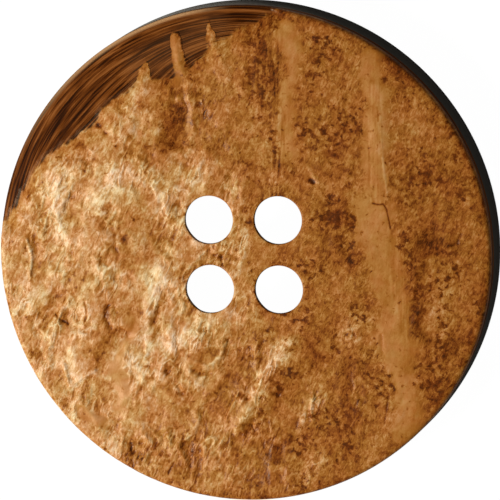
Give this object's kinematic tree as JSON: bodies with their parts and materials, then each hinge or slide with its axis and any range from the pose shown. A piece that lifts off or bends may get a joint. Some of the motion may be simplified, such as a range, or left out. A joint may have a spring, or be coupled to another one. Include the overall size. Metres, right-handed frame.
{
  "type": "sew-on button",
  "caption": "Flat round sew-on button: a rough tan natural crust over a thin brown layer on a black disc, with thread holes grouped at the centre.",
  "frame": {"origin": "on the button's axis, level with the flat ring of the back that rests on the garment", "axes": "+Z out of the face along the button's axis; +X and +Y along the rows of thread holes, with the bare brown crescent towards -X +Y"},
  "size_m": [0.0254, 0.0254, 0.0036],
  "materials": {
    "black_base": "satin",
    "brown_fibre": "satin",
    "tan_crust": "gloss"
  },
  "bodies": {
    "root": {"base_disc": "black_base", "fibre_layer": "brown_fibre", "crust_face": "tan_crust"}
  },
  "joints": []
}
